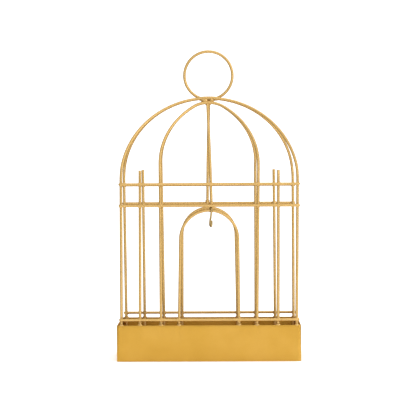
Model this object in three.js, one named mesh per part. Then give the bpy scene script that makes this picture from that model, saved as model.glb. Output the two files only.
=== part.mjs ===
// Birdcage-shaped wire card holder.
//
// A low, open sheet-metal tray carries two flat wire frames, one along its front wall and one
// along its rear wall. Above shoulder height both frames bend inwards until their tops meet
// under a ring that serves as the handle. Cards go in between the bars and through the arched
// doorways, and collect in the tray. A loose hook for a small sign hangs in the front doorway.
//
// Units are millimetres. +Z is up, -Y is the front, and the origin is the centre of the
// underside of the tray.

import * as THREE from 'three';

// ---- Driving dimensions --------------------------------------------------------------------

const CONTACT_GAP = 0.3; // left between pieces that touch

const TRAY_WIDTH = 221.4;
const TRAY_DEPTH = 104;
const TRAY_HEIGHT = 43.5;
const TRAY_CORNER_RADIUS = 3.6;
const SHEET_THICKNESS = 1;

const WIRE_RADIUS = 1.75;
const RAIL_RADIUS = 1.6;
const WIRE_SIDES = 8;

const FRAME_OFFSET = 48; // from the middle of the tray to the plane of each frame
const BEND_HEIGHT = 233;
const BEND_RADIUS = 8;
const LEAN_ANGLE = THREE.MathUtils.degToRad(27.7); // inwards, above the bend

// Heights on a frame are measured along the flat wire, before the frame is bent. Both frames are
// slightly out of true. All uprights slant to the right of someone facing their frame, and above
// the bend the arches slant back to the left.
const FRAME_SLANT = THREE.MathUtils.degToRad(0.33);
const ARCH_SLANT = THREE.MathUtils.degToRad(-0.5);
const REAR_FRAME_SHIFT = 0.45; // along X
const OUTER_HALF_WIDTH = 105.8;
const OUTER_FOOT_HALF_WIDTH = 105;
const OUTER_SPRING_HEIGHT = 217.5;
const OUTER_RISE = 110;
const INNER_HALF_WIDTH = 59;
const INNER_FOOT_HALF_WIDTH = 57.3;
const INNER_SPRING_HEIGHT = { front: 238.8, rear: 239.6 };
const INNER_SIDE_RADIUS = 92.7;
const INNER_SIDE_SWEEP = THREE.MathUtils.degToRad(56);
const DOOR_FOOT_HALF_WIDTH = { front: 36.6, rear: 35.2 };
const DOOR_ARCH_RADIUS = { front: 34.5, rear: 33.6 };
const DOOR_TOP_HEIGHT = 181.2;
const PICKET_OFFSET = { front: 82.9, rear: 82 };
const PICKET_TOP_HEIGHT = 229.3;
const BOTTOM_RAIL_HEIGHT = { front: 50.2, rear: 49.2 };
const MIDDLE_RAIL_HEIGHT = 187;
const TOP_RAIL_HEIGHT = { front: 212.7, rear: 209.8 };
const CENTRE_BAR_FOOT_SHIFT = { front: 2.7, rear: 1.5 }; // to the right, at the middle rail
const CENTRE_BAR_TOP_SHIFT = { front: -1.2, rear: -0.9 }; // to the left, under the inner arch
const CENTRE_BAR_END_GAP = 0.9; // left at both ends of the bar, where the wires around it curve

const RING_RADIUS = 29.3;
const RING_CENTRE_HEIGHT = 344.5;
const RING_SHIFT = 0.4;

const HOOK_WIRE_RADIUS = 1.2;
const HOOK_CROOK_RADIUS = 3.5;
const HOOK_BOWL_RADIUS = 3.6;
const HOOK_DROP = 15.6; // from the centre of the crook to the centre of the bowl
const HOOK_TIP_RISE = 3.6; // how far the open end of the bowl runs up past its centre
const HOOK_CROOK_TIP_ANGLE = THREE.MathUtils.degToRad(-35);
const HOOK_SHIFT = 3; // to the right of the middle of the doorway
const HOOK_YAW = THREE.MathUtils.degToRad(17);

const OUTER_ARCH_STEPS = 18; // on each half, as for the other arches
const INNER_SIDE_STEPS = 9;
const INNER_TOP_STEPS = 6;
const DOOR_ARCH_STEPS = 10;
const RING_STEPS = 48;
const HOOK_ARC_STEPS = 10;
const TRAY_CORNER_STEPS = 6;

const FOOT_HEIGHT = SHEET_THICKNESS + CONTACT_GAP;
const RAIL_OFFSET = FRAME_OFFSET + WIRE_RADIUS + CONTACT_GAP + RAIL_RADIUS;
const BEND_START = BEND_HEIGHT - (BEND_RADIUS * LEAN_ANGLE) / 2;
const BEND_END = BEND_HEIGHT + (BEND_RADIUS * LEAN_ANGLE) / 2;

// ---- Materials -----------------------------------------------------------------------------

function metal(color, roughness) {
  return new THREE.MeshStandardMaterial({ color, roughness, metalness: 1 });
}

const goldWire = () => metal(0xd8ab55, 0.38);
const goldSheet = () => metal(0xdcae50, 0.45);
const agedBrass = () => metal(0xa8935a, 0.5);

// ---- Wire helpers --------------------------------------------------------------------------

// A route through given stations. Steps fall on the stations, so straight stretches stay long.
class WireRoute extends THREE.Curve {
  constructor(stations) {
    super();
    this.stations = stations;
  }

  getUtoTmapping(u) {
    return u;
  }

  getPoint(t, target = new THREE.Vector3()) {
    const place = THREE.MathUtils.clamp(t, 0, 1) * (this.stations.length - 1);
    const index = Math.min(Math.floor(place), this.stations.length - 2);
    return target.lerpVectors(this.stations[index], this.stations[index + 1], place - index);
  }
}

// The section is drawn around the true wire, so its flats lie at the wire's radius.
function wireSection(radius) {
  const cornerRadius = radius / Math.cos(Math.PI / WIRE_SIDES);
  const corners = [];
  for (let side = 0; side < WIRE_SIDES; side += 1) {
    const angle = ((side + 0.5) * 2 * Math.PI) / WIRE_SIDES;
    corners.push(new THREE.Vector2(cornerRadius * Math.cos(angle), cornerRadius * Math.sin(angle)));
  }
  return new THREE.Shape(corners);
}

function bentWire(stations, radius) {
  return new THREE.ExtrudeGeometry(wireSection(radius), {
    steps: stations.length - 1,
    extrudePath: new WireRoute(stations),
  });
}

function straightWire(length, radius) {
  const cornerRadius = radius / Math.cos(Math.PI / WIRE_SIDES);
  const halfSide = Math.PI / WIRE_SIDES;
  return new THREE.CylinderGeometry(
    cornerRadius, cornerRadius, length, WIRE_SIDES, 1, false, halfSide, 2 * Math.PI,
  );
}

function named(name, geometry, material) {
  const mesh = new THREE.Mesh(geometry, material);
  mesh.name = name;
  return mesh;
}

// ---- Outlines on the flat frame: x across, y along the wire from the tray floor ---------------

function mirroredOutline(rightHalf) {
  const mirrored = rightHalf.map((point) => new THREE.Vector2(-point.x, point.y));
  return [...rightHalf, ...mirrored.slice(0, -1).reverse()];
}

function arc(centreX, centreY, radiusX, radiusY, fromAngle, toAngle, steps) {
  const points = [];
  for (let step = 0; step <= steps; step += 1) {
    const angle = fromAngle + ((toAngle - fromAngle) * step) / steps;
    const x = centreX + radiusX * Math.cos(angle);
    points.push(new THREE.Vector2(x, centreY + radiusY * Math.sin(angle)));
  }
  return points;
}

function outerArchOutline() {
  const foot = new THREE.Vector2(OUTER_FOOT_HALF_WIDTH, FOOT_HEIGHT);
  const quarter = arc(
    0, OUTER_SPRING_HEIGHT, OUTER_HALF_WIDTH, OUTER_RISE, 0, Math.PI / 2, OUTER_ARCH_STEPS,
  );
  return mirroredOutline([foot, ...quarter]);
}

// Each side of the inner arch is a wide arc, and a tighter arc joins the two over the top.
const INNER_REACH = INNER_SIDE_RADIUS - INNER_HALF_WIDTH;
const INNER_TOP_RADIUS = INNER_SIDE_RADIUS - INNER_REACH / Math.cos(INNER_SIDE_SWEEP);
const INNER_TOP_RISE = INNER_REACH * Math.tan(INNER_SIDE_SWEEP);

function innerArchOutline(place) {
  const springHeight = INNER_SPRING_HEIGHT[place];
  const foot = new THREE.Vector2(INNER_FOOT_HALF_WIDTH, FOOT_HEIGHT);
  const sideArc = arc(
    -INNER_REACH, springHeight, INNER_SIDE_RADIUS, INNER_SIDE_RADIUS,
    0, INNER_SIDE_SWEEP, INNER_SIDE_STEPS,
  );
  const topArc = arc(
    0, springHeight + INNER_TOP_RISE, INNER_TOP_RADIUS, INNER_TOP_RADIUS,
    INNER_SIDE_SWEEP, Math.PI / 2, INNER_TOP_STEPS,
  );
  return mirroredOutline([foot, ...sideArc, ...topArc.slice(1)]);
}

function doorArchOutline(place) {
  const foot = new THREE.Vector2(DOOR_FOOT_HALF_WIDTH[place], FOOT_HEIGHT);
  const radius = DOOR_ARCH_RADIUS[place];
  const quarter = arc(
    0, DOOR_TOP_HEIGHT - radius, radius, radius, 0, Math.PI / 2, DOOR_ARCH_STEPS,
  );
  return mirroredOutline([foot, ...quarter]);
}

// The bar starts behind the middle rail, just clear of the door arch and the hook around it.
function centreBarOutline(place) {
  const footHeight = MIDDLE_RAIL_HEIGHT - RAIL_RADIUS + CENTRE_BAR_END_GAP;
  const archHeight = INNER_SPRING_HEIGHT[place] + INNER_TOP_RISE + INNER_TOP_RADIUS;
  const topHeight = archHeight - WIRE_RADIUS - CENTRE_BAR_END_GAP;
  return [
    new THREE.Vector2(CENTRE_BAR_FOOT_SHIFT[place], footHeight),
    new THREE.Vector2(CENTRE_BAR_TOP_SHIFT[place], topHeight),
  ];
}

function picketOutline(x) {
  return [new THREE.Vector2(x, FOOT_HEIGHT), new THREE.Vector2(x, PICKET_TOP_HEIGHT)];
}

// ---- Laying an outline on the front frame ----------------------------------------------------

// Stations are added where the wire goes into, through and out of the shoulder bend.
function addBendStations(outline) {
  const bendHeights = [BEND_START, BEND_HEIGHT, BEND_END];
  const stations = [outline[0]];
  for (let index = 1; index < outline.length; index += 1) {
    const from = outline[index - 1];
    const to = outline[index];
    const crossed = bendHeights.filter((height) => (height - from.y) * (height - to.y) < 0);
    if (to.y < from.y) crossed.reverse();
    crossed.forEach((height) => {
      const share = (height - from.y) / (to.y - from.y);
      stations.push(from.clone().lerp(to, share));
    });
    stations.push(to);
  }
  return stations;
}

function slantAt(height) {
  const upright = Math.min(height, BEND_HEIGHT);
  return upright * Math.tan(FRAME_SLANT) + (height - upright) * Math.tan(ARCH_SLANT);
}

function onFrontFrame(point) {
  const turned = THREE.MathUtils.clamp((point.y - BEND_START) / BEND_RADIUS, 0, LEAN_ANGLE);
  const beyond = Math.max(point.y - BEND_END, 0);
  const inward = BEND_RADIUS * (1 - Math.cos(turned)) + beyond * Math.sin(LEAN_ANGLE);
  const upright = Math.min(point.y, BEND_START);
  const height = upright + BEND_RADIUS * Math.sin(turned) + beyond * Math.cos(LEAN_ANGLE);
  return new THREE.Vector3(point.x + slantAt(point.y), inward - FRAME_OFFSET, height);
}

function frameWire(outline) {
  return bentWire(addBendStations(outline).map(onFrontFrame), WIRE_RADIUS);
}

// A rail ends level with the outer sides of the outer posts.
function rail(name, height) {
  const share = (height - FOOT_HEIGHT) / (OUTER_SPRING_HEIGHT - FOOT_HEIGHT);
  const postOffset = THREE.MathUtils.lerp(OUTER_FOOT_HALF_WIDTH, OUTER_HALF_WIDTH, share);
  const mesh = named(name, straightWire(2 * (postOffset + WIRE_RADIUS), RAIL_RADIUS), goldWire());
  mesh.rotation.z = Math.PI / 2;
  mesh.position.set(slantAt(height), -RAIL_OFFSET, height);
  return mesh;
}

// Both frames are made to one pattern and stand back to back, so the rear one is laid out like the
// front one and turned. They were bent and welded by hand, so they differ by a millimetre or two.
function wireFrame(place) {
  const [minusXSide, plusXSide] = place === 'front' ? ['left', 'right'] : ['right', 'left'];
  const frame = new THREE.Group();
  frame.add(named(`${place}_outer_arch`, frameWire(outerArchOutline()), goldWire()));
  frame.add(named(`${place}_inner_arch`, frameWire(innerArchOutline(place)), goldWire()));
  frame.add(named(`${place}_door_arch`, frameWire(doorArchOutline(place)), goldWire()));
  frame.add(named(`${place}_centre_bar`, frameWire(centreBarOutline(place)), goldWire()));
  [[minusXSide, -1], [plusXSide, 1]].forEach(([side, direction]) => {
    const outline = picketOutline(direction * PICKET_OFFSET[place]);
    frame.add(named(`${place}_${side}_picket`, frameWire(outline), goldWire()));
  });
  frame.add(rail(`${place}_bottom_rail`, BOTTOM_RAIL_HEIGHT[place]));
  frame.add(rail(`${place}_middle_rail`, MIDDLE_RAIL_HEIGHT));
  frame.add(rail(`${place}_top_rail`, TOP_RAIL_HEIGHT[place]));
  if (place === 'rear') {
    frame.rotation.z = Math.PI;
    frame.position.x = REAR_FRAME_SHIFT;
  }
  return frame;
}

// ---- Tray ----------------------------------------------------------------------------------

function roundedRectangle(width, depth, radius, PathType = THREE.Shape) {
  const cornerX = width / 2 - radius;
  const cornerY = depth / 2 - radius;
  const outline = new PathType();
  outline.moveTo(cornerX, -cornerY - radius);
  outline.absarc(cornerX, -cornerY, radius, -Math.PI / 2, 0, false);
  outline.absarc(cornerX, cornerY, radius, 0, Math.PI / 2, false);
  outline.absarc(-cornerX, cornerY, radius, Math.PI / 2, Math.PI, false);
  outline.absarc(-cornerX, -cornerY, radius, Math.PI, 1.5 * Math.PI, false);
  return outline;
}

function plate(outline, thickness) {
  return new THREE.ExtrudeGeometry(outline, {
    depth: thickness,
    bevelEnabled: false,
    curveSegments: TRAY_CORNER_STEPS,
  });
}

// The wall is one strip bent round all four sides. The floor plate fits inside it.
function tray() {
  const wallOutline = roundedRectangle(TRAY_WIDTH, TRAY_DEPTH, TRAY_CORNER_RADIUS);
  wallOutline.holes.push(roundedRectangle(
    TRAY_WIDTH - 2 * SHEET_THICKNESS,
    TRAY_DEPTH - 2 * SHEET_THICKNESS,
    TRAY_CORNER_RADIUS - SHEET_THICKNESS,
    THREE.Path,
  ));
  const floorInset = SHEET_THICKNESS + CONTACT_GAP;
  const floorOutline = roundedRectangle(
    TRAY_WIDTH - 2 * floorInset, TRAY_DEPTH - 2 * floorInset, TRAY_CORNER_RADIUS - floorInset,
  );
  const group = new THREE.Group();
  group.add(named('tray_wall', plate(wallOutline, TRAY_HEIGHT), goldSheet()));
  group.add(named('tray_floor', plate(floorOutline, SHEET_THICKNESS), goldSheet()));
  return group;
}

// ---- Handle ring ---------------------------------------------------------------------------

// The ring stands upright, with its lowest point held between the tops of the two frames.
function handleRing() {
  const tubeRadius = WIRE_RADIUS / Math.cos(Math.PI / WIRE_SIDES);
  const ring = named(
    'handle_ring', new THREE.TorusGeometry(RING_RADIUS, tubeRadius, WIRE_SIDES, RING_STEPS), goldWire(),
  );
  ring.rotation.x = Math.PI / 2;
  ring.position.set(RING_SHIFT, 0, RING_CENTRE_HEIGHT);
  return ring;
}

// ---- Sign hook -----------------------------------------------------------------------------

// An S hook in its own plane: x towards the rear, y up, and the wire of the door arch passing
// through the origin. The crook closes over the arch, the shank crosses to the rear side, and
// the bowl opens to the front.
function hookOutline() {
  const shankTilt = Math.asin((HOOK_CROOK_RADIUS + HOOK_BOWL_RADIUS) / HOOK_DROP);
  const crook = arc(
    0, 0, HOOK_CROOK_RADIUS, HOOK_CROOK_RADIUS, HOOK_CROOK_TIP_ANGLE, Math.PI + shankTilt, HOOK_ARC_STEPS,
  );
  const bowl = arc(
    0, -HOOK_DROP, HOOK_BOWL_RADIUS, HOOK_BOWL_RADIUS, shankTilt, -Math.PI, HOOK_ARC_STEPS,
  );
  const tip = new THREE.Vector2(-HOOK_BOWL_RADIUS, HOOK_TIP_RISE - HOOK_DROP);
  return [...crook, ...bowl, tip];
}

// The angle that brings the middle of the wire's weight straight below the crook's centre.
function hangingAngle(outline) {
  const weighted = new THREE.Vector2();
  for (let index = 1; index < outline.length; index += 1) {
    const middle = outline[index - 1].clone().add(outline[index]).multiplyScalar(0.5);
    weighted.addScaledVector(middle, outline[index - 1].distanceTo(outline[index]));
  }
  return Math.atan2(-weighted.x, -weighted.y);
}

function signHook() {
  const outline = hookOutline();
  const angle = hangingAngle(outline);
  const centre = new THREE.Vector2();
  const stations = outline.map((point) => {
    const hung = point.clone().rotateAround(centre, angle);
    return new THREE.Vector3(0, hung.x, hung.y);
  });
  const hook = named('sign_hook', bentWire(stations, HOOK_WIRE_RADIUS), agedBrass());
  hook.rotation.z = HOOK_YAW;
  hook.position.set(HOOK_SHIFT, -FRAME_OFFSET, DOOR_TOP_HEIGHT);
  return hook;
}

// ---- Assembly ------------------------------------------------------------------------------

const cardHolder = new THREE.Group();
cardHolder.add(tray());
cardHolder.add(wireFrame('front'));
cardHolder.add(wireFrame('rear'));
cardHolder.add(handleRing());
cardHolder.add(signHook());

export default cardHolder;
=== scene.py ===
import math

import bmesh
import bpy
from mathutils import Matrix, Vector, noise


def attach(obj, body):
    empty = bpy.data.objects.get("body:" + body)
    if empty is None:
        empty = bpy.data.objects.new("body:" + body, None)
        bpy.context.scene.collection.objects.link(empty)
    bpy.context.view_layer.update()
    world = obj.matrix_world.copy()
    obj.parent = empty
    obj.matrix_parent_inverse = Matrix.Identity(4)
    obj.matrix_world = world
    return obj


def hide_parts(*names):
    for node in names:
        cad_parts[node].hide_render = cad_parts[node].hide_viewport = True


# Birdcage-shaped wire card holder in gold lacquer: an open sheet-metal tray, two bent wire
# frames standing back to back in it, a ring for a handle, and a loose hook in the front doorway.
# Everything is in metres, +Z is up and -Y is the front.

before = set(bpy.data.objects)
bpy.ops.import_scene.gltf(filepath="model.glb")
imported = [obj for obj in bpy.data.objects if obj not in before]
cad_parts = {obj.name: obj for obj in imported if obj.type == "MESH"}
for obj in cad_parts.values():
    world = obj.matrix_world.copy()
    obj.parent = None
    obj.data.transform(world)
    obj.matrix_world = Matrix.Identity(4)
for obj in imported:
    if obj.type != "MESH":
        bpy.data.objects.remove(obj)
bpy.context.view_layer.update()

MM = 0.001

# ---- Driving dimensions, as in the CAD model --------------------------------------------------

CONTACT_GAP = 0.3 * MM
TRAY_HALF_WIDTH = 110.7 * MM
TRAY_HALF_DEPTH = 52 * MM
TRAY_HEIGHT = 43.5 * MM
TRAY_CORNER_RADIUS = 3.6 * MM
SHEET_THICKNESS = 1 * MM

WIRE_RADIUS = 1.75 * MM
RAIL_RADIUS = 1.6 * MM
FRAME_OFFSET = 48 * MM
RAIL_OFFSET = FRAME_OFFSET + WIRE_RADIUS + CONTACT_GAP + RAIL_RADIUS
BEND_HEIGHT = 233 * MM
BEND_RADIUS = 8 * MM
LEAN_ANGLE = math.radians(27.7)
BEND_START = BEND_HEIGHT - BEND_RADIUS * LEAN_ANGLE / 2
BEND_END = BEND_HEIGHT + BEND_RADIUS * LEAN_ANGLE / 2

FOOT_HEIGHT = SHEET_THICKNESS + CONTACT_GAP
FRAME_SLANT = math.radians(0.33)
ARCH_SLANT = math.radians(-0.5)
REAR_FRAME_SHIFT = 0.45 * MM
OUTER_HALF_WIDTH = 105.8 * MM
OUTER_FOOT_HALF_WIDTH = 105 * MM
OUTER_SPRING_HEIGHT = 217.5 * MM
OUTER_RISE = 110 * MM
INNER_HALF_WIDTH = 59 * MM
INNER_FOOT_HALF_WIDTH = 57.3 * MM
INNER_SPRING_HEIGHT = {"front": 238.8 * MM, "rear": 239.6 * MM}
INNER_SIDE_RADIUS = 92.7 * MM
INNER_SIDE_SWEEP = math.radians(56)
INNER_REACH = INNER_SIDE_RADIUS - INNER_HALF_WIDTH
INNER_TOP_RADIUS = INNER_SIDE_RADIUS - INNER_REACH / math.cos(INNER_SIDE_SWEEP)
INNER_TOP_RISE = INNER_REACH * math.tan(INNER_SIDE_SWEEP)
DOOR_FOOT_HALF_WIDTH = {"front": 36.6 * MM, "rear": 35.2 * MM}
DOOR_ARCH_RADIUS = {"front": 34.5 * MM, "rear": 33.6 * MM}
DOOR_TOP_HEIGHT = 181.2 * MM
PICKET_OFFSET = {"front": 82.9 * MM, "rear": 82 * MM}
PICKET_TOP_HEIGHT = 229.3 * MM
BOTTOM_RAIL_HEIGHT = {"front": 50.2 * MM, "rear": 49.2 * MM}
MIDDLE_RAIL_HEIGHT = 187 * MM
TOP_RAIL_HEIGHT = {"front": 212.7 * MM, "rear": 209.8 * MM}
CENTRE_BAR_FOOT_SHIFT = {"front": 2.7 * MM, "rear": 1.5 * MM}
CENTRE_BAR_TOP_SHIFT = {"front": -1.2 * MM, "rear": -0.9 * MM}
CENTRE_BAR_END_GAP = 0.9 * MM
RING_RADIUS = 29.3 * MM
RING_CENTRE_HEIGHT = 344.5 * MM
RING_SHIFT = 0.4 * MM

HOOK_WIRE_RADIUS = 1.2 * MM
HOOK_CROOK_RADIUS = 3.5 * MM
HOOK_BOWL_RADIUS = 3.6 * MM
HOOK_DROP = 15.6 * MM
HOOK_TIP_RISE = 3.6 * MM
HOOK_CROOK_TIP_ANGLE = math.radians(-35)
HOOK_SHIFT = 3 * MM
HOOK_YAW = math.radians(17)

# ---- Fineness and small detail -----------------------------------------------------------------

WIRE_SIDES = 20
ARCH_STEPS = 56
RING_STEPS = 128
HOOK_ARC_STEPS = 20
BEND_STEPS = 6
LONGEST_STRETCH = 6 * MM
RAIL_STEPS = 36
END_ROUNDING = 0.35 * MM
WIRE_WOBBLE = 0.12 * MM
WALL_CORNER_STEPS = 10
WALL_COLUMN_WIDTH = 1.6 * MM
WALL_ROWS = 14
FLOOR_COLUMNS = 44
FLOOR_ROWS = 20
FLOOR_SAG = 0.12 * MM
FLOOR_EDGE_ROUNDING = 0.2 * MM
RIM_FOLD_HEIGHT = 2.2 * MM
RIM_FOLD_SET_BACK = 0.22 * MM
SHEET_EDGE_ROUNDING = 0.3 * MM
HEAT_DIMPLE_DEPTH = 0.34 * MM
HEAT_DIMPLE_WIDTH = 2.6 * MM
HEAT_DIMPLE_DROP = 16 * MM

# Half sizes of the weld beads: across, front to back, and upward.
FRAME_BEAD = (3.3 * MM, 1.25 * MM, 3.2 * MM)
RIM_BEAD = (3.1 * MM, 1.3 * MM, 2.5 * MM)
FOOT_BEAD = (2.7 * MM, 2.7 * MM, 1.15 * MM)
SADDLE_BEAD = (14.5 * MM, 3.6 * MM, 2.9 * MM)
CROWN_BEAD_HALF_DEPTH = 2.0 * MM
CROWN_BEAD_HALF_HEIGHT = 2.6 * MM
BAR_TOP_BEAD = (2.6 * MM, 1.7 * MM, 1.9 * MM)
BAR_FOOT_BEAD_LIFT = 2.6 * MM
# A bead's lumps keep inside the tray's width when its plain shape fills this share of the room.
BEAD_SHARE_OF_ROOM = 0.85


# ---- Node-based materials ----------------------------------------------------------------------

def new_material(name, metallic_settings):
    """A metal whose constant values sit on the shader's own sockets."""
    material = bpy.data.materials.new(name)
    material.use_nodes = True
    shader = material.node_tree.nodes["Principled BSDF"]
    for socket, value in metallic_settings.items():
        shader.inputs[socket].default_value = value
    return material, material.node_tree.nodes, material.node_tree.links, shader


def noise_texture(nodes, links, coordinates, scale, detail):
    texture = nodes.new("ShaderNodeTexNoise")
    texture.inputs["Scale"].default_value = scale
    texture.inputs["Detail"].default_value = detail
    links.new(coordinates, texture.inputs["Vector"])
    return texture.outputs["Fac"]


def colour_ramp(nodes, links, value, stops):
    ramp = nodes.new("ShaderNodeValToRGB")
    elements = ramp.color_ramp.elements
    elements[0].position, elements[0].color = stops[0]
    elements[1].position, elements[1].color = stops[-1]
    for position, colour in stops[1:-1]:
        elements.new(position).color = colour
    links.new(value, ramp.inputs["Fac"])
    return ramp.outputs["Color"]


def spread(nodes, links, value, low, high):
    """Maps a noise value onto the range from low to high."""
    mapping = nodes.new("ShaderNodeMapRange")
    mapping.inputs["From Min"].default_value = 0.3
    mapping.inputs["From Max"].default_value = 0.7
    mapping.inputs["To Min"].default_value = low
    mapping.inputs["To Max"].default_value = high
    links.new(value, mapping.inputs["Value"])
    return mapping.outputs["Result"]


def add_bump(nodes, links, height, strength, distance, below=None):
    bump = nodes.new("ShaderNodeBump")
    bump.inputs["Strength"].default_value = strength
    bump.inputs["Distance"].default_value = distance
    links.new(height, bump.inputs["Height"])
    if below is not None:
        links.new(below, bump.inputs["Normal"])
    return bump.outputs["Normal"]


def gold_material(
    name, clouds, roughness, patch_scale, ripple_strength, gloss_spread=0.06, metallic=1.0
):
    """Gold lacquer: cloudy colour, uneven gloss, and the fine ripple of sprayed lacquer.

    The clouds are a dark, a middle and a light colour. A metallic share below 1 is lacquer that
    scatters some of the light, as a thick coat does.
    """
    material, nodes, links, shader = new_material(
        name,
        {
            "Metallic": metallic,
            "Specular Tint": (0.95, 0.68, 0.36, 1),
            "Coat Weight": 0.06,
            "Coat Roughness": 0.18,
        },
    )
    place = nodes.new("ShaderNodeTexCoord").outputs["Object"]
    patches = noise_texture(nodes, links, place, patch_scale, 4)
    dark, middle, light = clouds
    colour = colour_ramp(nodes, links, patches, [(0.3, dark), (0.5, middle), (0.72, light)])
    links.new(colour, shader.inputs["Base Color"])
    gloss_patches = noise_texture(nodes, links, place, patch_scale * 3.3, 3)
    links.new(
        spread(nodes, links, gloss_patches, roughness - gloss_spread, roughness + gloss_spread),
        shader.inputs["Roughness"],
    )
    ripple = noise_texture(nodes, links, place, 620, 2)
    grain = noise_texture(nodes, links, place, 3800, 2)
    rippled = add_bump(nodes, links, ripple, ripple_strength, 0.0006)
    grained = add_bump(nodes, links, grain, ripple_strength / 2, 0.00015, rippled)
    links.new(grained, shader.inputs["Normal"])
    return material


def gold_wire_material():
    return gold_material(
        "gold_lacquered_wire",
        clouds=[(0.555, 0.355, 0.122, 1), (0.58, 0.377, 0.135, 1), (0.605, 0.40, 0.15, 1)],
        roughness=0.42, patch_scale=55, ripple_strength=0.002, gloss_spread=0.02, metallic=0.78,
    )


def gold_sheet_material():
    return gold_material(
        "gold_lacquered_sheet",
        clouds=[(0.485, 0.266, 0.036, 1), (0.515, 0.287, 0.043, 1), (0.545, 0.309, 0.054, 1)],
        roughness=0.37, patch_scale=22, ripple_strength=0.02, metallic=0.68,
    )


def weld_material():
    return gold_material(
        "gold_lacquered_weld",
        clouds=[(0.49, 0.30, 0.095, 1), (0.55, 0.352, 0.125, 1), (0.60, 0.395, 0.15, 1)],
        roughness=0.40, patch_scale=200, ripple_strength=0.006, metallic=0.85,
    )


def brass_material():
    return gold_material(
        "dull_brass_wire",
        clouds=[(0.33, 0.23, 0.09, 1), (0.46, 0.33, 0.14, 1), (0.58, 0.43, 0.20, 1)],
        roughness=0.42, patch_scale=240, ripple_strength=0.03,
    )


GOLD_WIRE = gold_wire_material()
GOLD_SHEET = gold_sheet_material()
GOLD_WELD = weld_material()
DULL_BRASS = brass_material()


# ---- Mesh helpers ------------------------------------------------------------------------------

def finish_piece(name, mesh_data, material, body, replaced=()):
    """Turns a bmesh into a named piece that rides on its body."""
    bmesh.ops.recalc_face_normals(mesh_data, faces=mesh_data.faces)
    mesh = bpy.data.meshes.new(name)
    mesh_data.to_mesh(mesh)
    mesh_data.free()
    mesh.materials.append(material)
    mesh.shade_smooth()
    piece = bpy.data.objects.new(name, mesh)
    bpy.context.scene.collection.objects.link(piece)
    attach(piece, body)
    if replaced:
        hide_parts(*replaced)
    return piece


def tangents_along(stations, closed):
    count = len(stations)
    tangents = []
    for index in range(count):
        if closed:
            before, after = stations[index - 1], stations[(index + 1) % count]
        else:
            before, after = stations[max(index - 1, 0)], stations[min(index + 1, count - 1)]
        tangents.append((after - before).normalized())
    return tangents


def section_ring(mesh_data, centre, across, up, radius):
    ring = []
    for side in range(WIRE_SIDES):
        angle = 2 * math.pi * side / WIRE_SIDES
        offset = across * math.cos(angle) + up * math.sin(angle)
        ring.append(mesh_data.verts.new(centre + offset * radius))
    return ring


def join_rings(mesh_data, first, second):
    for side in range(WIRE_SIDES):
        following = (side + 1) % WIRE_SIDES
        mesh_data.faces.new((first[side], first[following], second[following], second[side]))


def round_off_end(mesh_data, ring, centre, outward, across, up, radius):
    """A cut end whose sharp edge has been taken off."""
    middle = section_ring(
        mesh_data, centre + outward * END_ROUNDING * 0.6, across, up, radius - END_ROUNDING * 0.25
    )
    last = section_ring(
        mesh_data, centre + outward * END_ROUNDING, across, up, radius - END_ROUNDING
    )
    join_rings(mesh_data, ring, middle)
    join_rings(mesh_data, middle, last)
    mesh_data.faces.new(last)


def sweep_wire(stations, radius, closed=False):
    """A round wire through the stations. Open ends stop at the first and the last station."""
    if not closed:
        lead_in = (stations[1] - stations[0]).normalized() * END_ROUNDING
        lead_out = (stations[-2] - stations[-1]).normalized() * END_ROUNDING
        stations = [stations[0] + lead_in, *stations[1:-1], stations[-1] + lead_out]
    mesh_data = bmesh.new()
    tangents = tangents_along(stations, closed)
    across = tangents[0].orthogonal().normalized()
    rings = []
    for centre, tangent in zip(stations, tangents):
        across = (across - tangent * across.dot(tangent)).normalized()
        up = tangent.cross(across)
        rings.append((section_ring(mesh_data, centre, across, up, radius), across.copy(), up))
    for (first, _, _), (second, _, _) in zip(rings, rings[1:]):
        join_rings(mesh_data, first, second)
    if closed:
        join_rings(mesh_data, rings[-1][0], rings[0][0])
        return mesh_data
    for index, outward in ((0, -tangents[0]), (-1, tangents[-1])):
        ring, ring_across, ring_up = rings[index]
        round_off_end(mesh_data, ring, stations[index], outward, ring_across, ring_up, radius)
    return mesh_data


# ---- Outlines on the flat frame: (across, along the wire from the tray floor) -------------------

def arc(centre_x, centre_y, radius_x, radius_y, from_angle, to_angle, steps):
    points = []
    for step in range(steps + 1):
        angle = from_angle + (to_angle - from_angle) * step / steps
        points.append(
            Vector((centre_x + radius_x * math.cos(angle), centre_y + radius_y * math.sin(angle)))
        )
    return points


def mirrored(right_half):
    return right_half + [Vector((-p.x, p.y)) for p in reversed(right_half[:-1])]


def outer_arch_outline():
    quarter = arc(
        0, OUTER_SPRING_HEIGHT, OUTER_HALF_WIDTH, OUTER_RISE, 0, math.pi / 2, ARCH_STEPS
    )
    return mirrored([Vector((OUTER_FOOT_HALF_WIDTH, FOOT_HEIGHT)), *quarter])


def inner_arch_outline(place):
    spring = INNER_SPRING_HEIGHT[place]
    side = arc(
        -INNER_REACH, spring, INNER_SIDE_RADIUS, INNER_SIDE_RADIUS,
        0, INNER_SIDE_SWEEP, ARCH_STEPS // 2,
    )
    top = arc(
        0, spring + INNER_TOP_RISE, INNER_TOP_RADIUS, INNER_TOP_RADIUS,
        INNER_SIDE_SWEEP, math.pi / 2, ARCH_STEPS // 4,
    )
    return mirrored([Vector((INNER_FOOT_HALF_WIDTH, FOOT_HEIGHT)), *side, *top[1:]])


def door_arch_outline(place):
    radius = DOOR_ARCH_RADIUS[place]
    quarter = arc(0, DOOR_TOP_HEIGHT - radius, radius, radius, 0, math.pi / 2, ARCH_STEPS // 2)
    return mirrored([Vector((DOOR_FOOT_HALF_WIDTH[place], FOOT_HEIGHT)), *quarter])


def inner_top_height(place):
    return INNER_SPRING_HEIGHT[place] + INNER_TOP_RISE + INNER_TOP_RADIUS


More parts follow.
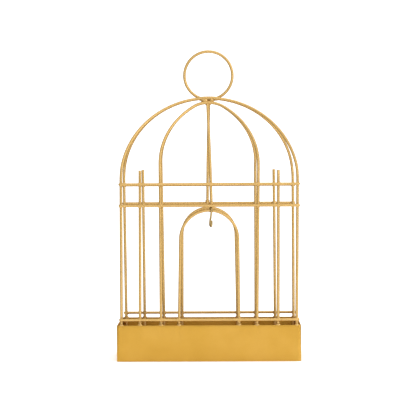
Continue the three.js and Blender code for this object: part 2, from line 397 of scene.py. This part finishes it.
def centre_bar_outline(place):
    foot_height = MIDDLE_RAIL_HEIGHT - RAIL_RADIUS + CENTRE_BAR_END_GAP
    top_height = inner_top_height(place) - WIRE_RADIUS - CENTRE_BAR_END_GAP
    return [
        Vector((CENTRE_BAR_FOOT_SHIFT[place], foot_height)),
        Vector((CENTRE_BAR_TOP_SHIFT[place], top_height)),
    ]


def picket_outline(x):
    return [Vector((x, FOOT_HEIGHT)), Vector((x, PICKET_TOP_HEIGHT))]


# ---- Laying an outline on a frame --------------------------------------------------------------

def add_fine_stations(outline, longest):
    """Splits long stretches, and follows the shoulder bend closely."""
    bend_heights = [
        BEND_START + (BEND_END - BEND_START) * step / BEND_STEPS for step in range(BEND_STEPS + 1)
    ]
    stations = [outline[0]]
    for start, end in zip(outline, outline[1:]):
        rise = end.y - start.y
        shares = [(height - start.y) / rise for height in bend_heights] if rise else []
        pieces = max(1, math.ceil((end - start).length / longest))
        shares += [step / pieces for step in range(1, pieces)]
        inside = sorted(share for share in shares if 0.001 < share < 0.999)
        stations += [start.lerp(end, share) for share in inside]
        stations.append(end)
    return stations


def slant_at(height):
    upright = min(height, BEND_HEIGHT)
    return upright * math.tan(FRAME_SLANT) + (height - upright) * math.tan(ARCH_SLANT)


def on_front_frame(point):
    turned = min(max((point.y - BEND_START) / BEND_RADIUS, 0), LEAN_ANGLE)
    beyond = max(point.y - BEND_END, 0)
    inward = BEND_RADIUS * (1 - math.cos(turned)) + beyond * math.sin(LEAN_ANGLE)
    upright = min(point.y, BEND_START)
    height = upright + BEND_RADIUS * math.sin(turned) + beyond * math.cos(LEAN_ANGLE)
    return Vector((point.x + slant_at(point.y), inward - FRAME_OFFSET, height))


def on_frame(point, place):
    """The rear frame faces the other way."""
    laid = on_front_frame(point)
    if place == "front":
        return laid
    return Vector((REAR_FRAME_SHIFT - laid.x, -laid.y, laid.z))


def hand_bent(station, wire_seed):
    """The slight wander of a wire bent and welded by hand."""
    drift = noise.noise(Vector((station.z * 9, station.x * 9, wire_seed)))
    return station + Vector((drift * WIRE_WOBBLE, 0, 0))


def leg_offset(height, foot_offset, spring_offset, spring_height):
    """How far out a straight leg stands at this height, before the frame's slant."""
    share = (height - FOOT_HEIGHT) / (spring_height - FOOT_HEIGHT)
    return foot_offset + (spring_offset - foot_offset) * share


def outer_post_offset(height):
    return leg_offset(height, OUTER_FOOT_HALF_WIDTH, OUTER_HALF_WIDTH, OUTER_SPRING_HEIGHT)


def frame_wire(name, place, outline, wire_seed):
    fine_outline = add_fine_stations(outline, LONGEST_STRETCH)
    stations = [on_frame(point, place) for point in fine_outline]
    wandering = [hand_bent(station, wire_seed) for station in stations]
    mesh_data = sweep_wire(wandering, WIRE_RADIUS)
    return finish_piece(name + ".wire", mesh_data, GOLD_WIRE, "holder", [name])


def rail(name, place, height):
    side = -1 if place == "front" else 1
    half_length = outer_post_offset(height) + WIRE_RADIUS
    middle = on_frame(Vector((0, height)), place).x
    stations = [
        Vector((middle + half_length * (2 * step / RAIL_STEPS - 1), side * RAIL_OFFSET, height))
        for step in range(RAIL_STEPS + 1)
    ]
    mesh_data = sweep_wire(stations, RAIL_RADIUS)
    return finish_piece(name + ".wire", mesh_data, GOLD_WIRE, "holder", [name])


def wire_frame(place, frame_seed):
    minus_x_side, plus_x_side = ("left", "right") if place == "front" else ("right", "left")
    outlines = {
        "outer_arch": outer_arch_outline(),
        "inner_arch": inner_arch_outline(place),
        "door_arch": door_arch_outline(place),
        "centre_bar": centre_bar_outline(place),
        f"{minus_x_side}_picket": picket_outline(-PICKET_OFFSET[place]),
        f"{plus_x_side}_picket": picket_outline(PICKET_OFFSET[place]),
    }
    for number, (part, outline) in enumerate(outlines.items()):
        frame_wire(f"{place}_{part}", place, outline, frame_seed + number * 7.3)
    for part, height in (
        ("bottom_rail", BOTTOM_RAIL_HEIGHT[place]),
        ("middle_rail", MIDDLE_RAIL_HEIGHT),
        ("top_rail", TOP_RAIL_HEIGHT[place]),
    ):
        rail(f"{place}_{part}", place, height)


# ---- Welds -------------------------------------------------------------------------------------

def add_bead(mesh_data, centre, half_sizes, seed, corner=1.5, roughness=0.12):
    """One lump of weld metal. A corner exponent below 2 draws it out along its axes."""
    made = bmesh.ops.create_icosphere(mesh_data, subdivisions=3, radius=1.0)
    for vert in made["verts"]:
        direction = vert.co.normalized()
        spread_sum = sum(abs(part) ** corner for part in direction)
        reach = spread_sum ** (-1 / corner)
        lumps = noise.noise(direction * 1.7 + Vector((seed, seed * 0.37, 0)))
        fine = noise.noise(direction * 4.1 + Vector((0, seed, seed * 0.61)))
        reach *= 1 + roughness * (lumps + 0.35 * fine)
        shaped = Vector([part * reach * size for part, size in zip(direction, half_sizes)])
        vert.co = Vector(centre) + shaped


def centre_bar_offset(height, place):
    foot, top = centre_bar_outline(place)
    return foot.lerp(top, (height - foot.y) / (top.y - foot.y)).x


def post_positions(height, place):
    """Where the upright wires of a frame stand at this height."""
    inner_spring = INNER_SPRING_HEIGHT[place]
    inner = leg_offset(height, INNER_FOOT_HALF_WIDTH, INNER_HALF_WIDTH, inner_spring)
    offsets = [outer_post_offset(height), PICKET_OFFSET[place], inner]
    door_radius = DOOR_ARCH_RADIUS[place]
    door_spring = DOOR_TOP_HEIGHT - door_radius
    if height < door_spring:
        offsets.append(leg_offset(height, DOOR_FOOT_HALF_WIDTH[place], door_radius, door_spring))
    crossings = [side * offset for side in (-1, 1) for offset in offsets]
    if height > DOOR_TOP_HEIGHT:
        crossings.append(centre_bar_offset(height, place))
    return [on_frame(Vector((crossing, height)), place).x for crossing in sorted(crossings)]


def frame_welds(place):
    """A bead wherever an upright crosses a rail. The centre bar's foot is welded to the rail's top."""
    side = -1 if place == "front" else 1
    bar_foot_x = on_frame(centre_bar_outline(place)[0], place).x
    bead_width, bead_depth, bead_height = FRAME_BEAD
    contact = side * (FRAME_OFFSET + WIRE_RADIUS + CONTACT_GAP / 2)
    mesh_data = bmesh.new()
    seed = 3.0 if place == "front" else 91.0
    for height in (BOTTOM_RAIL_HEIGHT[place], MIDDLE_RAIL_HEIGHT, TOP_RAIL_HEIGHT[place]):
        for x in post_positions(height, place):
            seed += 1.7
            growth = 1 + 0.18 * noise.noise(Vector((seed, 0, 0)))
            room = TRAY_HALF_WIDTH - abs(x)
            half_width = min(bead_width * growth, room * BEAD_SHARE_OF_ROOM)
            half_sizes = (half_width, bead_depth, bead_height * growth)
            centre = (x, contact, height)
            if height == MIDDLE_RAIL_HEIGHT and abs(x - bar_foot_x) < WIRE_RADIUS:
                half_sizes = (half_width, bead_depth, BAR_FOOT_BEAD_LIFT)
                centre = (x, contact, height + BAR_FOOT_BEAD_LIFT)
            add_bead(mesh_data, centre, half_sizes, seed, corner=1.35)
    return finish_piece(place + "_frame_welds", mesh_data, GOLD_WELD, "holder")


def tray_welds(place):
    """Posts are welded to the inside of the wall at the rim, and to the floor at their feet."""
    side = -1 if place == "front" else 1
    wall_face = FRAME_OFFSET + WIRE_RADIUS
    mesh_data = bmesh.new()
    seed = 211.0 if place == "front" else 307.0
    for x in post_positions(TRAY_HEIGHT, place):
        seed += 2.3
        growth = 1 + 0.2 * noise.noise(Vector((seed, 5, 0)))
        rim_centre = (x, side * (wall_face + 0.55 * MM), TRAY_HEIGHT - 0.4 * MM)
        rim_sizes = (RIM_BEAD[0] * growth, RIM_BEAD[1], RIM_BEAD[2] * growth)
        add_bead(mesh_data, rim_centre, rim_sizes, seed, corner=1.6)
        foot_centre = (x, side * FRAME_OFFSET, FOOT_HEIGHT + 0.1 * MM)
        foot_sizes = (FOOT_BEAD[0] * growth, FOOT_BEAD[1], FOOT_BEAD[2])
        add_bead(mesh_data, foot_centre, foot_sizes, seed + 50, corner=1.8)
    return finish_piece(place + "_tray_welds", mesh_data, GOLD_WELD, "holder")


def crown_welds():
    """The tops of both frames and the ring run together in a few long beads."""
    mesh_data = bmesh.new()
    saddle_centre = (RING_SHIFT + 0.2 * MM, 0, RING_CENTRE_HEIGHT - RING_RADIUS + 1.0 * MM)
    add_bead(mesh_data, saddle_centre, SADDLE_BEAD, 17.0, corner=2.6, roughness=0.05)
    for place, seed in (("front", 23.0), ("rear", 41.0)):
        outer_top = on_frame(Vector((0, OUTER_SPRING_HEIGHT + OUTER_RISE)), place)
        inner_top = on_frame(Vector((0, inner_top_height(place))), place)
        middle = (outer_top + inner_top) / 2
        for shift, width, bead_seed in ((-4.6, 4.6, seed), (4.3, 3.1, seed + 3)):
            centre = (shift * MM, middle.y, middle.z)
            half_sizes = (width * MM, CROWN_BEAD_HALF_DEPTH, CROWN_BEAD_HALF_HEIGHT)
            add_bead(mesh_data, centre, half_sizes, bead_seed, corner=1.8)
        bar_top = on_frame(centre_bar_outline(place)[1], place)
        add_bead(mesh_data, bar_top, BAR_TOP_BEAD, seed + 9)
    return finish_piece("crown_welds", mesh_data, GOLD_WELD, "holder")


# ---- Tray --------------------------------------------------------------------------------------

def rounded_rectangle(half_width, half_depth, radius, corner_steps, longest):
    """Points round the outline, each with its outward normal."""
    corners = (
        (half_width - radius, -half_depth + radius, -90),
        (half_width - radius, half_depth - radius, 0),
        (-half_width + radius, half_depth - radius, 90),
        (-half_width + radius, -half_depth + radius, 180),
    )
    points = []
    for number, (x, y, start) in enumerate(corners):
        for step in range(corner_steps + 1):
            angle = math.radians(start + 90 * step / corner_steps)
            normal = Vector((math.cos(angle), math.sin(angle)))
            points.append((Vector((x, y)) + normal * radius, normal))
        next_x, next_y, next_start = corners[(number + 1) % 4]
        angle = math.radians(next_start)
        normal = Vector((math.cos(angle), math.sin(angle)))
        start_point = points[-1][0]
        end_point = Vector((next_x, next_y)) + normal * radius
        pieces = max(1, math.ceil((end_point - start_point).length / longest))
        for piece in range(1, pieces):
            points.append((start_point.lerp(end_point, piece / pieces), normal))
    return points


def wall_profile():
    """Set-back and height of the sheet's outer and inner faces, from the foot round the rim."""
    edge = SHEET_EDGE_ROUNDING
    top = TRAY_HEIGHT
    profile = [(edge, 0.0), (edge * 0.3, edge * 0.3), (0.0, edge)]
    low, high = edge + 0.4 * MM, top - RIM_FOLD_HEIGHT
    profile += [(0.0, low + (high - low) * row / WALL_ROWS) for row in range(WALL_ROWS + 1)]
    profile += [
        (RIM_FOLD_SET_BACK * 0.25, top - RIM_FOLD_HEIGHT * 0.62),
        (RIM_FOLD_SET_BACK * 0.62, top - RIM_FOLD_HEIGHT * 0.36),
        (RIM_FOLD_SET_BACK, top - edge * 0.8),
        (RIM_FOLD_SET_BACK + edge * 0.35, top - edge * 0.2),
        (RIM_FOLD_SET_BACK + edge * 0.9, top),
        (SHEET_THICKNESS + 0.1 * MM, top - edge * 0.1),
        (SHEET_THICKNESS + 0.25 * MM, top - edge * 0.9),
        (SHEET_THICKNESS + 0.2 * MM, top - RIM_FOLD_HEIGHT * 0.6),
    ]
    profile += [
        (SHEET_THICKNESS, high + (low - high) * row / WALL_ROWS) for row in range(WALL_ROWS + 1)
    ]
    profile.append((SHEET_THICKNESS - edge, 0.0))
    return profile


def heat_dimple(point, normal, height):
    """How far the sheet is drawn in where a post is welded behind it."""
    if abs(normal.y) < 0.99:
        return 0.0
    drop = (TRAY_HEIGHT - height) / HEAT_DIMPLE_DROP
    along = math.exp(-drop * drop)
    depth = 0.0
    place = "front" if normal.y < 0 else "rear"
    for number, x in enumerate(post_positions(TRAY_HEIGHT, place)):
        shift = (point.x - x) / HEAT_DIMPLE_WIDTH
        strength = 1 + 0.5 * noise.noise(Vector((number * 3.1, normal.y * 2, 0)))
        depth += strength * math.exp(-shift * shift)
    return HEAT_DIMPLE_DEPTH * along * depth


def tray_wall():
    outline = rounded_rectangle(
        TRAY_HALF_WIDTH, TRAY_HALF_DEPTH, TRAY_CORNER_RADIUS, WALL_CORNER_STEPS, WALL_COLUMN_WIDTH
    )
    mesh_data = bmesh.new()
    columns = []
    for point, normal in outline:
        column = []
        for set_back, height in wall_profile():
            drawn_in = set_back + heat_dimple(point, normal, height)
            place = point - normal * drawn_in
            column.append(mesh_data.verts.new((place.x, place.y, height)))
        columns.append(column)
    for index, column in enumerate(columns):
        following = columns[(index + 1) % len(columns)]
        for row in range(len(column)):
            next_row = (row + 1) % len(column)
            mesh_data.faces.new(
                (column[row], following[row], following[next_row], column[next_row])
            )
    return finish_piece(
        "tray_wall.sheet", mesh_data, GOLD_SHEET, "holder", ["tray_wall"]
    )


def tray_floor():
    """A plate with softened edges that sags a little between its tack welds."""
    inset = SHEET_THICKNESS + CONTACT_GAP
    half_width, half_depth = TRAY_HALF_WIDTH - inset, TRAY_HALF_DEPTH - inset
    columns, rows = FLOOR_COLUMNS, FLOOR_ROWS
    mesh_data = bmesh.new()

    def grid(height, sag):
        lines = []
        for column in range(columns + 1):
            line = []
            for row in range(rows + 1):
                x = half_width * (2 * column / columns - 1)
                y = half_depth * (2 * row / rows - 1)
                edge_share = max(abs(x) / half_width, abs(y) / half_depth)
                wave = noise.noise(Vector((x * 28, y * 28, 4.0)))
                drop = sag * (1 - edge_share ** 6) * (0.6 + 0.4 * wave)
                line.append(mesh_data.verts.new((x, y, height - drop)))
            lines.append(line)
        return lines

    upper = grid(SHEET_THICKNESS, FLOOR_SAG)
    lower = grid(0.0, 0.0)
    for column in range(columns):
        for row in range(rows):
            corners = ((column, row), (column + 1, row), (column + 1, row + 1), (column, row + 1))
            mesh_data.faces.new([upper[c][r] for c, r in corners])
            mesh_data.faces.new([lower[c][r] for c, r in reversed(corners)])
    border = [(c, 0) for c in range(columns)]
    border += [(columns, r) for r in range(rows)]
    border += [(c, rows) for c in range(columns, 0, -1)]
    border += [(0, r) for r in range(rows, 0, -1)]
    for index, (c, r) in enumerate(border):
        next_c, next_r = border[(index + 1) % len(border)]
        mesh_data.faces.new((upper[c][r], lower[c][r], lower[next_c][next_r], upper[next_c][next_r]))
    piece = finish_piece(
        "tray_floor.sheet", mesh_data, GOLD_SHEET, "holder", ["tray_floor"]
    )
    soften = piece.modifiers.new("soften", "BEVEL")
    soften.width = FLOOR_EDGE_ROUNDING
    soften.segments = 2
    soften.limit_method = "ANGLE"
    return piece


# ---- Handle ring and hook ----------------------------------------------------------------------

def handle_ring():
    stations = [
        Vector((point.x, 0, point.y))
        for point in arc(
            RING_SHIFT, RING_CENTRE_HEIGHT, RING_RADIUS, RING_RADIUS, 0, 2 * math.pi, RING_STEPS
        )[:-1]
    ]
    mesh_data = sweep_wire(stations, WIRE_RADIUS, closed=True)
    return finish_piece(
        "handle_ring.wire", mesh_data, GOLD_WIRE, "holder", ["handle_ring"]
    )


def hook_outline():
    """An S hook: x towards the rear, y up, and the wire it hangs on through the origin."""
    shank_tilt = math.asin((HOOK_CROOK_RADIUS + HOOK_BOWL_RADIUS) / HOOK_DROP)
    crook = arc(
        0, 0, HOOK_CROOK_RADIUS, HOOK_CROOK_RADIUS,
        HOOK_CROOK_TIP_ANGLE, math.pi + shank_tilt, HOOK_ARC_STEPS,
    )
    bowl = arc(
        0, -HOOK_DROP, HOOK_BOWL_RADIUS, HOOK_BOWL_RADIUS, shank_tilt, -math.pi, HOOK_ARC_STEPS
    )
    return [*crook, *bowl, Vector((-HOOK_BOWL_RADIUS, HOOK_TIP_RISE - HOOK_DROP))]


def hanging_angle(outline):
    """The angle that brings the middle of the wire's weight straight below the crook."""
    weighted = Vector((0, 0))
    for start, end in zip(outline, outline[1:]):
        weighted += (start + end) / 2 * (end - start).length
    return math.atan2(-weighted.x, -weighted.y)


def sign_hook():
    outline = hook_outline()
    angle = hanging_angle(outline)
    turn = Matrix.Rotation(HOOK_YAW, 3, "Z")
    eye = Vector((HOOK_SHIFT, -FRAME_OFFSET, DOOR_TOP_HEIGHT))
    stations = []
    for point in outline:
        x = point.x * math.cos(angle) - point.y * math.sin(angle)
        y = point.x * math.sin(angle) + point.y * math.cos(angle)
        stations.append(eye + turn @ Vector((0, x, y)))
    mesh_data = sweep_wire(stations, HOOK_WIRE_RADIUS)
    return finish_piece(
        "sign_hook.wire", mesh_data, DULL_BRASS, "hook", ["sign_hook"]
    )


# ---- Studio ------------------------------------------------------------------------------------

def studio_floor():
    half, front, rear = 0.26, -1.0, 0.1
    mesh = bpy.data.meshes.new("studio_floor")
    mesh.from_pydata(
        [(-half, front, 0), (half, front, 0), (half, rear, 0), (-half, rear, 0)], [], [(0, 1, 2, 3)]
    )
    material = bpy.data.materials.new("studio_floor")
    material.use_nodes = True
    shader = material.node_tree.nodes["Principled BSDF"]
    shader.inputs["Base Color"].default_value = (0.9, 0.9, 0.9, 1)
    shader.inputs["Roughness"].default_value = 0.9
    shader.inputs["Specular IOR Level"].default_value = 0.1
    mesh.materials.append(material)
    floor = bpy.data.objects.new("studio_floor", mesh)
    bpy.context.scene.collection.objects.link(floor)


def studio_world():
    """White to look at. What the metal reflects is bright in front and on the right."""
    world = bpy.data.worlds.new("studio")
    bpy.context.scene.world = world
    world.use_nodes = True
    nodes, links = world.node_tree.nodes, world.node_tree.links
    direction = nodes.new("ShaderNodeTexCoord").outputs["Generated"]
    facing = nodes.new("ShaderNodeVectorMath")
    facing.operation = "DOT_PRODUCT"
    facing.inputs[1].default_value = Vector((0.72, -0.58, 0.38)).normalized()
    links.new(direction, facing.inputs[0])
    ramp = nodes.new("ShaderNodeMapRange")
    ramp.inputs["From Min"].default_value = -0.1
    ramp.inputs["From Max"].default_value = 1.0
    ramp.inputs["To Min"].default_value = 0.45
    ramp.inputs["To Max"].default_value = 1.0
    links.new(facing.outputs["Value"], ramp.inputs["Value"])
    seen = nodes.new("ShaderNodeBackground")
    seen.inputs["Color"].default_value = (1, 1, 1, 1)
    seen.inputs["Strength"].default_value = 1.5
    reflected = nodes.new("ShaderNodeBackground")
    reflected.inputs["Color"].default_value = (1, 1, 1, 1)
    links.new(ramp.outputs["Result"], reflected.inputs["Strength"])
    choose = nodes.new("ShaderNodeMixShader")
    links.new(nodes.new("ShaderNodeLightPath").outputs["Is Glossy Ray"], choose.inputs["Fac"])
    links.new(seen.outputs["Background"], choose.inputs[1])
    links.new(reflected.outputs["Background"], choose.inputs[2])
    links.new(choose.outputs["Shader"], nodes["World Output"].inputs["Surface"])


def softbox(name, place, aim, width, height, power):
    light = bpy.data.lights.new(name, "AREA")
    light.shape = "RECTANGLE"
    light.size = width
    light.size_y = height
    light.energy = power
    lamp = bpy.data.objects.new(name, light)
    bpy.context.scene.collection.objects.link(lamp)
    lamp.location = place
    lamp.rotation_euler = (Vector(aim) - Vector(place)).to_track_quat("-Z", "Y").to_euler()
    lamp.visible_camera = False


def studio_lights():
    softbox("key_right", place=(1.3, -1.5, 1.1), aim=(0, 0, 0.1), width=1.1, height=1.1, power=10)
    softbox("edge_right", place=(1.5, -1.1, 0.35), aim=(0, 0, 0.15), width=0.14, height=1.1, power=2.2)
    softbox("fill_left", place=(-1.4, -1.5, 1.2), aim=(0, 0, 0.2), width=0.5, height=1.0, power=2.0)
    softbox("top", place=(0.1, -0.1, 1.9), aim=(0, 0, 0.1), width=1.6, height=1.2, power=8)
    softbox("rear", place=(0.6, 1.9, 1.1), aim=(0, 0, 0.15), width=1.2, height=0.9, power=1.5)


def studio_camera():
    """Eye height is above the doorway, and the whole holder fills the frame."""
    camera_data = bpy.data.cameras.new("camera")
    camera_data.sensor_width = 36
    camera_data.lens = 144.9
    camera_data.clip_end = 50
    camera = bpy.data.objects.new("camera", camera_data)
    bpy.context.scene.collection.objects.link(camera)
    tilt = Matrix.Rotation(math.radians(90 - 1.885), 4, "X")
    pan = Matrix.Rotation(math.radians(0.695), 4, "Z")
    roll = Matrix.Rotation(math.radians(-0.3), 4, "Z")
    place = Matrix.Translation(Vector((0.024, -2.052, 0.25)))
    camera.matrix_world = place @ pan @ tilt @ roll
    bpy.context.scene.camera = camera


# ---- Assembly ----------------------------------------------------------------------------------

tray_wall()
tray_floor()
wire_frame("front", 11.0)
wire_frame("rear", 57.0)
handle_ring()
frame_welds("front")
frame_welds("rear")
tray_welds("front")
tray_welds("rear")
crown_welds()
sign_hook()

studio_floor()
studio_world()
studio_lights()
studio_camera()
bpy.context.scene.view_settings.view_transform = "Standard"
bpy.context.scene.view_settings.look = "None"
